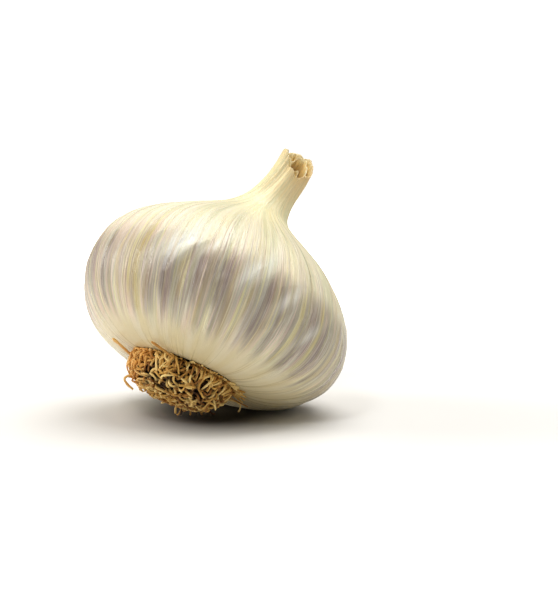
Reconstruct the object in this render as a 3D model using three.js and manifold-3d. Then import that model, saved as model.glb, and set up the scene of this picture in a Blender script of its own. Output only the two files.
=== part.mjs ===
// A whole, dried garlic bulb lying on a table, tipped over onto its flank and its trimmed roots.
// Lengths are in millimetres, +Z is up and the table is the plane z = 0.
// The bulb is drawn upright about its own axis, from the roots to the cut neck, and then laid down.
import * as THREE from "three";
import { mergeVertices } from "three/addons/utils/BufferGeometryUtils.js";
import Module from "manifold-3d";

const wasm = await Module();
wasm.setup();

// How the bulb lies: the neck goes back, then over to the right, then the whole bulb rolls back.
const NECK_BACK = THREE.MathUtils.degToRad(16);
const NECK_RIGHT = THREE.MathUtils.degToRad(22);
const ROLL_BACK = THREE.MathUtils.degToRad(7);
// Where the middle of the widest ring stands, with the flank flattened a little by the table.
const SEAT = new THREE.Vector3(-0.8, -0.661, 22.55);

// The skin's outline from the edge of the root plate's seat up to the cut:
// radius, height above the widest ring, and how far the axis has drifted to the right.
const SKIN_OUTLINE = [
  [9.8, -13.0, 0.0],
  [12.8, -14.4, 0.1],
  [17.0, -14.4, 0.3],
  [21.7, -13.1, 0.5],
  [26.4, -10.3, 0.6],
  [30.2, -5.7, 0.5],
  [32.0, 0.4, 0.1],
  [31.2, 6.6, -0.4],
  [28.4, 12.3, -0.9],
  [23.6, 17.2, -1.0],
  [17.7, 21.3, -0.8],
  [12.2, 24.7, -0.3],
  [7.9, 27.9, 0.5],
  [5.5, 31.8, 2.1],
  [4.55, 36.4, 3.6],
  [4.35, 40.4, 4.6],
  [4.45, 44.4, 5.35],
  [4.55, 48.4, 6.0],
];
const AROUND = 102;
const ALONG = 25;
// Above this height the rows of points close up, so that the last one follows the slanting cut.
const CUT_FROM = 31.8;
// The last two rows of the outline that the height of the cut is counted between.
const CUT_ROW = 44.4;
const CUT_TOP = 48.4;
// The height of the cut edge every 30 degrees from azimuth -180: lowest in front on the right.
const CUT_HEIGHTS = [45.8, 45.1, 43.4, 40.4, 39.2, 40.5, 42.8, 45.0, 46.8, 47.4, 47.1, 46.4];
const CUT_WAVE = 0.25;

// The seat that the root plate stands in, and the open end of the neck.
const SEAT_RADIUS = 9.4;
const SEAT_HEIGHT = -11.2;
const SHEATH_WALL = 0.9;
const MOUTH_FLOOR = 35.8;
const MOUTH_TAPER = 0.4;

// The cloves swell the skin between the roots and the shoulder, and dried veins rib it.
const CLOVES = 11;
const CLOVE_SWELL = 0.9;
const RIBS = 18;
const RIB_DEPTH = 0.2;
const NECK_CREASE = 0.22;

// The dried inner sheaths, rolled up into a hollow in the open neck, each a little shorter than
// the last: how far the edge stands below the cut, how thick they are and how deep the hollow is.
const CORE_AROUND = 36;
const CORE_GAP = 0.45;
const CORE_FOLD = 0.3;
const CORE_BELOW_CUT = 1.1;
const CORE_WALL = 0.8;
const HOLLOW_FLOOR = 37.4;

// The root plate, which stands in its seat, and the packed middle of its mat of roots.
const PLATE_TOP = -11.6;
const PLATE_RADIUS = 8.9;
const PACKED_OUTLINE = [
  [0, -20.3],
  [5.0, -20.1],
  [8.0, -19.0],
  [9.3, -17.4],
  [9.5, -16.0],
  [9.3, -15.0],
  [PLATE_RADIUS, -14.2],
  [PLATE_RADIUS, -13.4],
  [PLATE_RADIUS, PLATE_TOP],
  [0, PLATE_TOP],
];
const PLATE_SIDES = 32;
// The mat of roots is a flat rounded cushion. It hangs to the left of the plate and towards the
// viewer, and its lower side leans a little further.
const MAT_TOP = -14.6;
const MAT_RADIUS = 11.45;
const MAT_DEPTH = 7.5;
const MAT_ROUNDNESS = 3.4;
const MAT_MIDDLE = [-2.3, -2.0];
const MAT_LEAN = [0.7, -1.2];
const MAT_CLUMPS = 0.03;
// The single roots that show on it.
const ROOTS = 82;
const ROOT_STEPS = 6;
const ROOT_SIDES = 4;
const ROOT_RADIUS = 0.43;
const ROOT_TIP = 0.8;
const ROOT_START = 0.72;
const SKIN_CLEARANCE = 0.45;
const TABLE_PRESS = 0.6;
const SEED = 7;
// Roots that reach out of the mat, each by the points it passes through.
const STRAYS = [
  [
    [-11.0, -1.1, -15.9],
    [-14.2, -2.6, -15.8],
    [-17.0, -5.4, -15.4],
    [-19.3, -6.6, -14.9],
  ],
  [
    [-9.2, -1.6, -17.6],
    [-11.5, -1.7, -19.2],
    [-13.4, -1.2, -21.1],
    [-12.5, -0.6, -22.1],
    [-10.7, 0.2, -22.6],
  ],
  [
    [-2.0, -11.2, -15.5],
    [-6.0, -14.8, -15.4],
    [-10.5, -17.7, -15.0],
  ],
  [
    [7.2, 2.6, -18.4],
    [8.8, 3.0, -16.8],
    [11.0, 2.6, -15.8],
    [13.4, 2.9, -15.7],
    [13.9, 3.4, -16.7],
    [13.8, 3.8, -17.4],
  ],
  [
    [7.9, 1.0, -15.8],
    [11.3, 2.0, -15.5],
    [15.5, 3.5, -15.5],
  ],
  [
    [0.2, 1.0, -19.6],
    [-0.1, 3.1, -21.8],
    [0.4, 3.8, -23.3],
  ],
];
// How many straight pieces each stretch of a stray root has.
const STRAY_STEPS = 1.5;
// The longest roots stand on the table: in the bulb as it lies, where each one leaves the packed
// middle and where its foot is.
const STANDING_ROOTS = [
  { from: [-7.6, -6.0, 6.2], foot: [-9.0, -7.2] },
  { from: [-5.6, -4.8, 5.6], foot: [-6.2, -6.4] },
  { from: [-3.8, -4.8, 5.8], foot: [-2.4, -6.2] },
  { from: [-3.0, -3.4, 6.0], foot: [-0.6, -3.4] },
  { from: [-5.0, -3.2, 6.0], foot: [-4.4, -1.4] },
  { from: [-7.0, -4.0, 6.6], foot: [-8.6, -2.8] },
  { from: [-4.0, -2.2, 6.8], foot: [-1.8, -0.2] },
];
const GOLDEN_ANGLE = Math.PI * (3 - Math.sqrt(5));
// The shortest edges that are worth keeping where roots cross.
const FINEST = 0.05;

const skinCurve = new THREE.CatmullRomCurve3(
  SKIN_OUTLINE.map(([radius, height, drift]) => new THREE.Vector3(radius, height, drift)),
  false,
  "catmullrom",
);

const cutCurve = new THREE.CatmullRomCurve3(
  CUT_HEIGHTS.map((height) => new THREE.Vector3(0, height, 0)),
  true,
  "catmullrom",
);

// 0 below low, 1 above high, and smooth between them; it falls when low is above high.
function ramp(low, high, value) {
  const t = THREE.MathUtils.clamp((value - low) / (high - low), 0, 1);
  return t * t * (3 - 2 * t);
}

// Even numbers from 0 to 1, the same on every run.
function seededRandom(seed) {
  let state = seed;
  return () => {
    state = (Math.imul(state, 1664525) + 1013904223) >>> 0;
    return state / 4294967296;
  };
}

// How far the cloves push the skin out: wide crests with narrow valleys of uneven spacing.
function cloveSwell(angle, height) {
  const phase = CLOVES * angle + 0.9 * Math.sin(angle + 0.6) + 0.5 * Math.sin(2 * angle + 2.1);
  const crest = Math.sqrt(Math.cos(phase / 2) ** 2 + 0.05) - 0.65;
  return CLOVE_SWELL * crest * ramp(-15.5, -8, height) * ramp(27, 8, height);
}

// The dried veins, which run from the roots to the neck.
function ribHeight(angle, height) {
  const phase = RIBS * angle + 1.1 * Math.sin(3 * angle + 0.4);
  return RIB_DEPTH * Math.cos(phase) * ramp(-14.5, -6, height) * ramp(30, 14, height);
}

// The neck dries flatter and creased.
function neckCrease(angle, height) {
  const flat = 0.3 * Math.cos(2 * (angle - 0.5));
  const crease = NECK_CREASE * Math.cos(5 * angle + 0.8) + 0.5 * NECK_CREASE * Math.cos(9 * angle + 2.0);
  return (flat + crease) * ramp(24, 38, height);
}

// The height of the ragged cut edge, which slants down to the front.
function cutHeight(angle) {
  const turn = THREE.MathUtils.euclideanModulo(angle / (2 * Math.PI) + 0.5, 1);
  const ragged = CUT_WAVE * (Math.sin(7 * angle) + 0.6 * Math.sin(11 * angle + 1.0));
  return cutCurve.getPoint(turn).y + ragged;
}

// How far along the outline a height of the neck is, from 0 at the roots to 1 at its end.
function alongAt(height) {
  const rows = SKIN_OUTLINE.length - 1;
  return 1 - (CUT_TOP - height) / (CUT_TOP - CUT_ROW) / rows;
}

function skinPoint(along, angle, inset = 0) {
  const { x: radius, y: height, z: drift } = skinCurve.getPoint(along);
  const relief = cloveSwell(angle, height) + ribHeight(angle, height) + neckCrease(angle, height);
  const wide = radius + relief - inset;
  return new THREE.Vector3(drift + wide * Math.cos(angle), wide * Math.sin(angle), height);
}

// A point of the outer skin, as rows go from 0 at the roots to 1 at the cut.
function cutSkinPoint(row, angle, inset = 0) {
  const start = alongAt(CUT_FROM);
  const end = alongAt(cutHeight(angle));
  const along = row < start ? row : start + ((row - start) * (end - start)) / (1 - start);
  return skinPoint(along, angle, inset);
}

// A point on the wall of the neck's mouth, which narrows below the cut.
function mouthPoint(angle, height, inset) {
  const down = THREE.MathUtils.clamp((cutHeight(angle) - height) / (CUT_TOP - MOUTH_FLOOR), 0, 1);
  return skinPoint(alongAt(height), angle, inset + MOUTH_TAPER * down);
}

function mouthAxis(height) {
  return mouthPoint(0, height, 0).add(mouthPoint(Math.PI, height, 0)).multiplyScalar(0.5);
}

// Closes rows of points, each once round the axis, with a single point at either end.
function closedRows(rows, around) {
  const first = rows[0][0];
  const last = rows[rows.length - 1][0];
  const rings = rows.slice(1, -1);
  const points = [first, ...rings.flat(), last];
  const index = [];
  const at = (row, step) => 1 + row * around + (step % around);
  for (let step = 0; step < around; step++) index.push(0, at(0, step + 1), at(0, step));
  for (let row = 0; row < rings.length - 1; row++) {
    for (let step = 0; step < around; step++) {
      index.push(at(row, step), at(row, step + 1), at(row + 1, step + 1));
      index.push(at(row, step), at(row + 1, step + 1), at(row + 1, step));
    }
  }
  const top = rings.length - 1;
  for (let step = 0; step < around; step++) {
    index.push(at(top, step), at(top, step + 1), points.length - 1);
  }
  return new THREE.BufferGeometry().setFromPoints(points).setIndex(index);
}

function toSolid(geometry) {
  const bare = new THREE.BufferGeometry();
  bare.setAttribute("position", geometry.getAttribute("position"));
  bare.setIndex(geometry.index);
  const merged = mergeVertices(bare, 1e-4);
  return new wasm.Manifold(
    new wasm.Mesh({
      numProp: 3,
      vertProperties: new Float32Array(merged.attributes.position.array),
      triVerts: new Uint32Array(merged.index.array),
    }),
  );
}

function toGeometry(solid) {
  const mesh = solid.getMesh();
  const geometry = new THREE.BufferGeometry();
  geometry.setAttribute("position", new THREE.BufferAttribute(mesh.vertProperties, 3));
  geometry.setIndex(new THREE.BufferAttribute(mesh.triVerts, 1));
  geometry.computeVertexNormals();
  return geometry;
}

// The largest body of a solid, without loose scraps or sealed hollows.
function mainBody(solid) {
  return solid.decompose().reduce((best, body) => (body.volume() > best.volume() ? body : best));
}

// The three nested turns that lay the bulb down, with the innermost holding the pieces.
const garlic = new THREE.Group();
const rolled = new THREE.Group();
const leaning = new THREE.Group();
const upright = new THREE.Group();
garlic.add(rolled);
rolled.add(leaning);
leaning.add(upright);
rolled.position.copy(SEAT);
rolled.rotation.x = -ROLL_BACK;
leaning.rotation.y = NECK_RIGHT;
upright.rotation.x = -NECK_BACK;
garlic.updateMatrixWorld(true);
const layDown = upright.matrixWorld;
const standUp = layDown.clone().invert();
const tableNormal = new THREE.Vector3(0, 0, 1).transformDirection(standUp);

function heightAboveTable(point) {
  return point.clone().applyMatrix4(layDown).z;
}

// The table as a thick slab in the upright bulb's own axes.
function tableSlab() {
  const slab = new THREE.BoxGeometry(120, 120, 20);
  slab.translate(0, 0, -10);
  slab.applyMatrix4(standUp);
  return toSolid(slab);
}

// The bulb in its papery skins, drawn out into the neck and open where the neck was cut.
function bulb() {
  const rows = [];
  const ring = (pointAt) => {
    rows.push(Array.from({ length: AROUND }, (_, k) => pointAt((k / AROUND) * 2 * Math.PI)));
  };
  const circle = (radius, height) => (angle) =>
    new THREE.Vector3(radius * Math.cos(angle), radius * Math.sin(angle), height);
  ring(circle(0, SEAT_HEIGHT));
  ring(circle(SEAT_RADIUS, SEAT_HEIGHT));
  for (let k = 0; k <= ALONG; k++) ring((angle) => cutSkinPoint(k / ALONG, angle));
  ring((angle) => cutSkinPoint(1, angle, SHEATH_WALL));
  ring((angle) => mouthPoint(angle, (cutHeight(angle) + MOUTH_FLOOR) / 2, SHEATH_WALL));
  ring((angle) => mouthPoint(angle, MOUTH_FLOOR, SHEATH_WALL));
  ring(() => mouthAxis(MOUTH_FLOOR));
  return mainBody(toSolid(closedRows(rows, AROUND)).subtract(tableSlab()));
}

// The inner sheaths, rolled and creased, standing in the mouth of the neck round a deep hollow.
function neckCore() {
  const foot = MOUTH_FLOOR + CORE_GAP;
  const edge = (angle) => cutHeight(angle) - CORE_BELOW_CUT;
  const wall = (angle, share, inset) => {
    const fold = CORE_FOLD * (0.5 - 0.5 * Math.cos(5 * angle + 0.8));
    const height = THREE.MathUtils.lerp(foot, edge(angle), share);
    return mouthPoint(angle, height, SHEATH_WALL + CORE_GAP + fold + inset);
  };
  const inside = (angle) => {
    const point = wall(angle, 0, 1.3 * CORE_WALL);
    point.z = HOLLOW_FLOOR;
    return point;
  };
  const middle = mouthAxis(foot);
  const rows = [
    () => middle,
    (angle) => wall(angle, 0, 0),
    (angle) => wall(angle, 0.35, 0),
    (angle) => wall(angle, 0.7, 0),
    (angle) => wall(angle, 1, 0),
    (angle) => wall(angle, 1, CORE_WALL),
    inside,
    () => new THREE.Vector3(middle.x, middle.y, HOLLOW_FLOOR),
  ].map((pointAt) => {
    return Array.from({ length: CORE_AROUND }, (_, k) => pointAt((k / CORE_AROUND) * 2 * Math.PI));
  });
  return mainBody(toSolid(closedRows(rows, CORE_AROUND)));
}

// The lowest height that the skin reaches near a distance from the axis.
function underSkin(radius) {
  let lowest = 0;
  for (let k = 0; k <= 40; k++) {
    const { x, y } = skinCurve.getPoint(k / 80);
    if (Math.abs(x - radius) < 1.2) lowest = Math.min(lowest, y);
  }
  return lowest;
}

// The middle of the mat at a height.
function matMiddle(height) {
  const deep = THREE.MathUtils.clamp((MAT_TOP - height) / MAT_DEPTH, 0, 1);
  return new THREE.Vector3(MAT_MIDDLE[0] + MAT_LEAN[0] * deep, MAT_MIDDLE[1] + MAT_LEAN[1] * deep, MAT_TOP);
}

// How far out of the rounded mat a point lies: 1 on its surface, which bulges in clumps.
function matShare(point) {
  const from = point.clone().sub(matMiddle(point.z));
  const turn = Math.atan2(from.y, from.x);
  const clumps = 1 + MAT_CLUMPS * (Math.cos(12 * (turn + 1.26)) + 0.6 * Math.cos(7 * turn + 1.0));
  const wide = Math.hypot(from.x, from.y) / (MAT_RADIUS * clumps);
  const deep = Math.max(0, -from.z) / MAT_DEPTH;
  return (wide ** MAT_ROUNDNESS + deep ** MAT_ROUNDNESS) ** (1 / MAT_ROUNDNESS);
}

// Brings a point of a root into its layer of the mat.
function ontoLayer(point, layer) {
  const middle = matMiddle(point.z);
  return point.sub(middle).multiplyScalar(layer / matShare(point.clone().add(middle))).add(middle);
}

// Bends a point of a root clear of the skin and of the table.
function bendClear(point) {
  const reach = Math.hypot(point.x, point.y);
  const below = underSkin(Math.max(reach, PLATE_RADIUS)) - SKIN_CLEARANCE - ROOT_RADIUS;
  point.z = Math.min(point.z, below);
  const gap = heightAboveTable(point) - TABLE_PRESS * ROOT_RADIUS;
  if (gap < 0) point.addScaledVector(tableNormal, -gap);
  return point;
}

// A root: a few flat sides round each point of its path, a little thinner at the trimmed tip.
function rootSolid(path) {
  const rows = [[path[0]]];
  const side = new THREE.Vector3(0.31, 0.52, 0.79).normalize();
  path.forEach((point, k) => {
    const before = path[Math.max(k - 1, 0)];
    const after = path[Math.min(k + 1, path.length - 1)];
    const ahead = after.clone().sub(before).normalize();
    side.addScaledVector(ahead, -side.dot(ahead)).normalize();
    const other = ahead.clone().cross(side);
    const radius = ROOT_RADIUS * THREE.MathUtils.lerp(1, ROOT_TIP, k / (path.length - 1));
    rows.push(
      Array.from({ length: ROOT_SIDES }, (_, s) => {
        const turn = (s / ROOT_SIDES) * 2 * Math.PI;
        return point
          .clone()
          .addScaledVector(side, radius * Math.cos(turn))
          .addScaledVector(other, radius * Math.sin(turn));
      }),
    );
  });
  rows.push([path[path.length - 1]]);
  return toSolid(closedRows(rows, ROOT_SIDES));
}

// The path of a root in the mat: it comes out of the packed middle, curls to one side and then
// perhaps back, and dips in and out of the mat as it goes.
function matRootPath(out, random) {
  const foot = ontoLayer(matMiddle(MAT_TOP).add(out), ROOT_START);
  const way = new THREE.Vector3(-out.y, out.x, 0).normalize();
  way.applyAxisAngle(out, 2 * Math.PI * random());
  const curl = (random() < 0.5 ? -1 : 1) * (0.1 + 0.35 * random());
  const sway = 1.6 * random();
  const length = 6.0 + 3.5 * random();
  const depth = 0.93 + 0.05 * random();
  const dips = 0.6 + 1.2 * random();
  const phase = 2 * Math.PI * random();
  const tip = 0.1 * random();
  const point = bendClear(foot.clone());
  const path = [point.clone()];
  const stride = length / (ROOT_STEPS - 1);
  for (let k = 1; k < ROOT_STEPS; k++) {
    const share = k / (ROOT_STEPS - 1);
    const dip = depth + 0.06 * Math.sin(phase + 2 * Math.PI * dips * share) + tip * ramp(0.7, 1, share);
    point.addScaledVector(way, stride);
    ontoLayer(point, THREE.MathUtils.lerp(ROOT_START, dip, ramp(0, 0.3, share)));
    path.push(bendClear(point).clone());
    way.applyAxisAngle(out, curl * Math.cos(sway * Math.PI * share) * stride);
  }
  return path;
}

function matRoots() {
  const random = seededRandom(SEED);
  return Array.from({ length: ROOTS }, (_, k) => {
    const down = (1 - (k + 0.5) / ROOTS) ** 1.3;
    const side = Math.sqrt(1 - down * down);
    const turn = k * GOLDEN_ANGLE;
    return matRootPath(new THREE.Vector3(side * Math.cos(turn), side * Math.sin(turn), -down), random);
  });
}

function strayRoots() {
  return STRAYS.map((points) => {
    const places = points.map((point) => new THREE.Vector3(...point));
    const line = new THREE.CatmullRomCurve3(places, false, "catmullrom");
    return line.getPoints(Math.round(STRAY_STEPS * (points.length - 1)));
  });
}

// Roots that run down to the table and bend outwards where they meet it.
function standingRoots() {
  const alongRoot = [
    [0, 1],
    [0.35, 0.45],
    [0.7, 0.18],
    [1, 0.05],
    [1.25, 0.045],
  ];
  return STANDING_ROOTS.map(({ from, foot }) => {
    const [x, y, z] = from;
    const points = alongRoot.map(([out, up]) => [x + (foot[0] - x) * out, y + (foot[1] - y) * out, z * up]);
    return points.map((point) => new THREE.Vector3(...point).applyMatrix4(standUp));
  });
}

// The root plate with its mat of roots. The packed middle follows the mat as it widens.
function rootTuft() {
  const profile = PACKED_OUTLINE.map(([radius, height]) => new THREE.Vector2(radius, height));
  const plate = new THREE.LatheGeometry(profile, PLATE_SIDES);
  plate.rotateX(Math.PI / 2);
  const places = plate.getAttribute("position");
  for (let k = 0; k < places.count; k++) {
    const share = ramp(-13.4, -16.5, places.getZ(k));
    places.setX(k, places.getX(k) + MAT_MIDDLE[0] * share);
    places.setY(k, places.getY(k) + MAT_MIDDLE[1] * share);
  }
  let tuft = toSolid(plate);
  for (const path of [...matRoots(), ...strayRoots(), ...standingRoots()]) tuft = tuft.add(rootSolid(path));
  return mainBody(tuft.subtract(tableSlab()).simplify(FINEST));
}

function place(name, solid, material) {
  const mesh = new THREE.Mesh(toGeometry(solid), new THREE.MeshStandardMaterial(material));
  mesh.name = name;
  upright.add(mesh);
}

place("bulb", bulb(), { color: 0xe6dfc8, roughness: 0.45, metalness: 0 });
place("neck_core", neckCore(), { color: 0xc8a562, roughness: 0.7, metalness: 0 });
place("root_tuft", rootTuft(), { color: 0xa57a3c, roughness: 0.85, metalness: 0 });

export default garlic;
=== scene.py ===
"""A whole dried garlic bulb, lying tipped over on its flank and its trimmed roots."""

import math

import bpy
import numpy as np
from mathutils import Matrix, Vector


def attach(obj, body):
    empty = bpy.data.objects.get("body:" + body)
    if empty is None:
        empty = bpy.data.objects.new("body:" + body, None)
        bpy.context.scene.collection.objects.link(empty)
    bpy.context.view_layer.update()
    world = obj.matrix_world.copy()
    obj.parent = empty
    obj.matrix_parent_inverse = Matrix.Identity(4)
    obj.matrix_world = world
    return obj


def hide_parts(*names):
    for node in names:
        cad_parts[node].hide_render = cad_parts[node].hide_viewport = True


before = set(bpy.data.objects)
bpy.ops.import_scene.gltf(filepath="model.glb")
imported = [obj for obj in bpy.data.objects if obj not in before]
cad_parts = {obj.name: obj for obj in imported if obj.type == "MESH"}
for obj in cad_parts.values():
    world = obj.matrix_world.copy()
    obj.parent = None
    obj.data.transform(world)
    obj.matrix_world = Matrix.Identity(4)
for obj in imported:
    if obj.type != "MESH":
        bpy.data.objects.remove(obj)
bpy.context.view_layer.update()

# The papery outer skin
# Thin dry leaf bases, wrapped tightly round the cloves and drawn out upwards into the neck, which
# was cut at a slant. They are veined from the roots to the neck and crease where they narrow.
# Everything is drawn upright about the bulb's own axis, in millimetres, and then laid down: the
# neck goes back, then over to the right, then the whole bulb rolls back onto its flank.
NECK_BACK = math.radians(16)
NECK_RIGHT = math.radians(22)
ROLL_BACK = math.radians(7)
# Where the middle of the widest ring comes to lie.
RING_MIDDLE = Vector((-0.8, -0.661, 22.55))
MM = 0.001
# From the roots to the end of the neck: radius, height and how far the skin drifts sideways.
SKIN_OUTLINE = np.array(
    [
        (9.8, -13.0, 0.0),
        (12.8, -14.4, 0.1),
        (17.0, -14.4, 0.3),
        (21.7, -13.1, 0.5),
        (26.4, -10.3, 0.6),
        (30.2, -5.7, 0.5),
        (32.0, 0.4, 0.1),
        (31.2, 6.6, -0.4),
        (28.4, 12.3, -0.9),
        (23.6, 17.2, -1.0),
        (17.7, 21.3, -0.8),
        (12.2, 24.7, -0.3),
        (7.9, 27.9, 0.5),
        (5.5, 31.8, 2.1),
        (4.55, 36.4, 3.6),
        (4.35, 40.4, 4.6),
        (4.45, 44.4, 5.35),
        (4.55, 48.4, 6.0),
    ]
)
# Points round the skin, and rows of them along it.
SKIN_AROUND = 720
SKIN_ALONG = 330
# The cut neck: where its rows begin to slant, and the last two heights of the outline. Then the
# heights of the cut edge itself, round the neck from the left and past the front.
CUT_FROM = 31.8
CUT_ROW = 44.4
CUT_TOP = 48.4
CUT_HEIGHTS = np.array([45.8, 45.1, 43.4, 40.4, 39.2, 40.5, 42.8, 45.0, 46.8, 47.4, 47.1, 46.4])
CUT_WAVE = 0.25
# The edge has small nibbles, and dips once more at the front on the left: how far, where, how wide.
NIBBLE = 0.08
FRONT_DIP = 1.2
FRONT_DIP_AT = -112
FRONT_DIP_WIDTH = 22
CLOVES = 11
CLOVE_SWELL = 0.9
RIBS = 18
RIB_DEPTH = 0.2
NECK_CREASE = 0.22
# The seat of the root plate, from its middle outwards: radius and height.
SEAT_RADIUS = 9.4
SEAT_HEIGHT = -11.2
SEAT_ROWS = ((0.05, SEAT_HEIGHT), (4.0, SEAT_HEIGHT), (SEAT_RADIUS, SEAT_HEIGHT), (9.6, -12.2))
# Over the cut edge and down the inside of the mouth: how deep, and how far in from the outside.
MOUTH_ROWS = (
    (-0.015, 0.10),
    (-0.005, 0.28),
    (0.03, 0.38),
    (0.12, 0.46),
    (0.4, 0.6),
    (0.7, 0.8),
    (1, 1.2),
)
MOUTH_FLOOR = 36.2
# A floor is closed by a row this much smaller than the one round it.
FLOOR_SHARE = 0.02

lay_down = (
    Matrix.Translation(RING_MIDDLE)
    @ Matrix.Rotation(-ROLL_BACK, 4, "X")
    @ Matrix.Rotation(NECK_RIGHT, 4, "Y")
    @ Matrix.Rotation(-NECK_BACK, 4, "X")
)
turned = np.array(lay_down.to_3x3())
ring_middle = np.array(RING_MIDDLE)


def laid_down(points):
    """Upright points in millimetres as they lie on the table, still in millimetres."""
    return np.asarray(points) @ turned.T + ring_middle


def stood_up(points):
    """The way back: points on the table, in the upright bulb's own axes."""
    return (np.asarray(points) - ring_middle) @ turned


def pressed_on_table(points):
    """Points that would reach below the table are pressed flat on it."""
    laid = laid_down(points)
    laid[:, 2] = np.maximum(laid[:, 2], 0.0)
    return stood_up(laid)


def once_round(count):
    """Evenly spaced angles, once round."""
    return np.arange(count) / count * 2 * math.pi


def ramp(low, high, value):
    """0 below low, 1 above high and smooth between; it falls when low is above high."""
    share = np.clip((np.asarray(value) - low) / (high - low), 0.0, 1.0)
    return share * share * (3.0 - 2.0 * share)


def smooth_between(before, start, end, after, t):
    """A smooth curve from start to end, which heads where its neighbours lead."""
    leave = (end - before) / 2
    arrive = (after - start) / 2
    cubic = (2 * start - 2 * end + leave + arrive) * t**3
    return cubic + (3 * end - 3 * start - 2 * leave - arrive) * t**2 + leave * t + start


def smooth_line(points, along):
    """A smooth line through points, from the first at 0 to the last at 1."""
    points = np.asarray(points, float)
    count = len(points) - 1
    ends = 2 * points[[0, -1]] - points[[1, -2]]
    points = np.vstack([ends[:1], points, ends[1:]])
    place = np.clip(np.asarray(along, float), 0, 1) * count
    first = np.minimum(place.astype(int), count - 1)
    t = (place - first)[..., None]
    return smooth_between(points[first], points[first + 1], points[first + 2], points[first + 3], t)


def outline_at(along):
    """Radius, height and sideways drift of the skin, from the roots at 0 to the outline's end."""
    return smooth_line(SKIN_OUTLINE, along)


def cut_height(angle):
    """The height of the ragged cut edge, which slants down to the front."""
    count = len(CUT_HEIGHTS)
    place = np.mod(np.asarray(angle) / (2 * math.pi) + 0.5, 1.0) * count
    first = place.astype(int) % count
    four = [CUT_HEIGHTS[(first + k) % count] for k in (-1, 0, 1, 2)]
    ragged = CUT_WAVE * (np.sin(7 * angle) + 0.6 * np.sin(11 * angle + 1.0))
    return smooth_between(*four, place - place.astype(int)) + ragged


def along_at(height):
    """How far along the outline a height of the neck is."""
    return 1 - (CUT_TOP - height) / (CUT_TOP - CUT_ROW) / (len(SKIN_OUTLINE) - 1)


def clove_swell(angle, height):
    """The cloves push the skin out in wide crests, with narrow valleys of uneven spacing."""
    phase = CLOVES * angle + 0.9 * np.sin(angle + 0.6) + 0.5 * np.sin(2 * angle + 2.1)
    crest = np.sqrt(np.cos(phase / 2) ** 2 + 0.05) - 0.65
    return CLOVE_SWELL * crest * ramp(-15.5, -8, height) * ramp(27, 8, height)


def rib_height(angle, height):
    """Shallow ribs of even width, from the roots to below the neck."""
    phase = RIBS * angle + 1.1 * np.sin(3 * angle + 0.4)
    return RIB_DEPTH * np.cos(phase) * ramp(-14.5, -6, height) * ramp(30, 14, height)


def neck_crease(angle, height):
    """The neck dries flatter and creased."""
    flat = 0.3 * np.cos(2 * (angle - 0.5))
    crease = NECK_CREASE * (np.cos(5 * angle + 0.8) + 0.5 * np.cos(9 * angle + 2.0))
    return (flat + crease) * ramp(24, 38, height)


def turned_apart(angle, middle):
    """The angle from middle to angle, between minus and plus half a turn."""
    return np.arctan2(np.sin(angle - middle), np.cos(angle - middle))


def near_turn(angle, middle, width):
    """1 at the middle and fading to either side, with middle and width in degrees."""
    across = np.degrees(turned_apart(angle, np.radians(middle))) / width
    return np.exp(-(across**2))


# Grooves in the neck below the cut: angle, lowest point, depth, width in degrees.
NECK_GROOVES = (
    (-132, 39.5, 0.14, 5.0),
    (-119, 38.6, 0.17, 4.5),
    (-105, 37.0, 0.12, 4.5),
    (-71, 36.6, 0.12, 4.5),
    (-58, 37.4, 0.14, 4.0),
    (-43, 36.5, 0.10, 4.5),
    (12, 41.0, 0.50, 30.0),
    (-20, 36.0, 0.15, 5.0),
    (8, 35.0, 0.14, 5.5),
    (34, 37.0, 0.20, 5.0),
    (63, 35.5, 0.15, 5.0),
    (96, 36.0, 0.20, 5.5),
    (124, 35.0, 0.14, 5.0),
    (158, 36.5, 0.18, 5.0),
)


def neck_grooves(angle, height):
    """Each groove wavers a little on its way up, and runs out over the cut edge."""
    total = np.zeros(np.broadcast(angle, height).shape)
    for turn, low, depth, width in NECK_GROOVES:
        middle = turn + 1.5 * np.sin(0.6 * height + turn)
        total -= depth * near_turn(angle, middle, width) * ramp(low - 3, low + 1, height)
    return total


def wander(angle, height, seed, fewest, most, drift):
    """Uneven waves round the bulb, within about 1 of 0, that change slowly from roots to neck."""
    random = np.random.default_rng(seed)
    total = np.zeros(np.broadcast(angle, height).shape)
    for _ in range(12):
        around = random.integers(fewest, most)
        phase, fade = random.uniform(0, 2 * math.pi, 2)
        lean = random.normal(0, drift)
        strength = 0.6 + 0.4 * np.cos(random.uniform(0.08, 0.25) * height + fade)
        total += strength * np.cos(around * angle + phase + lean * height)
    return total / 2.6


# The largest folds of loose skin: angle and height of either end, how high, how wide in mm.
LOOSE_FOLDS = (
    (-115.5, -3.5, -107.5, 7.0, 0.42, 1.4),
    (-111.5, 0.0, -105.5, 7.5, 0.20, 0.8),
    (-108.0, 2.5, -103.0, 8.5, 0.15, 0.7),
    (-85, 0.5, -76, 7.5, 0.20, 1.0),
    (-69, -7.5, -60, 2.5, 0.26, 1.0),
    (-57, -1.0, -49, 5.0, 0.14, 1.0),
    (-40, -9.0, -35, -1.0, 0.16, 0.9),
    (-149, -8.0, -152, 4.0, 0.16, 0.9),
    (20, -4.0, 32, 5.0, 0.22, 1.2),
    (70, 0.0, 79, 8.0, 0.20, 1.1),
    (112, -6.0, 120, 3.0, 0.24, 1.2),
    (150, 4.0, 160, 10.0, 0.18, 1.2),
)
SMALL_FOLDS = 110
# Fine waves: seed, fewest and most round the bulb, slant, height in millimetres, and the heights
# between which they rise. The slanting ones fade again below the neck.
VEIN_WAVES = (
    (3, 24, 60, 0.05, 0.05, -14, -6),
    (4, 70, 150, 0.10, 0.035, -14, -8),
)
SLANTING_WAVES = (6, 20, 55, 0.8, 0.045, -8, 2)
NECK_PLEATS = (5, 7, 30, 0.10, 0.04, 22, 34)


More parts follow.
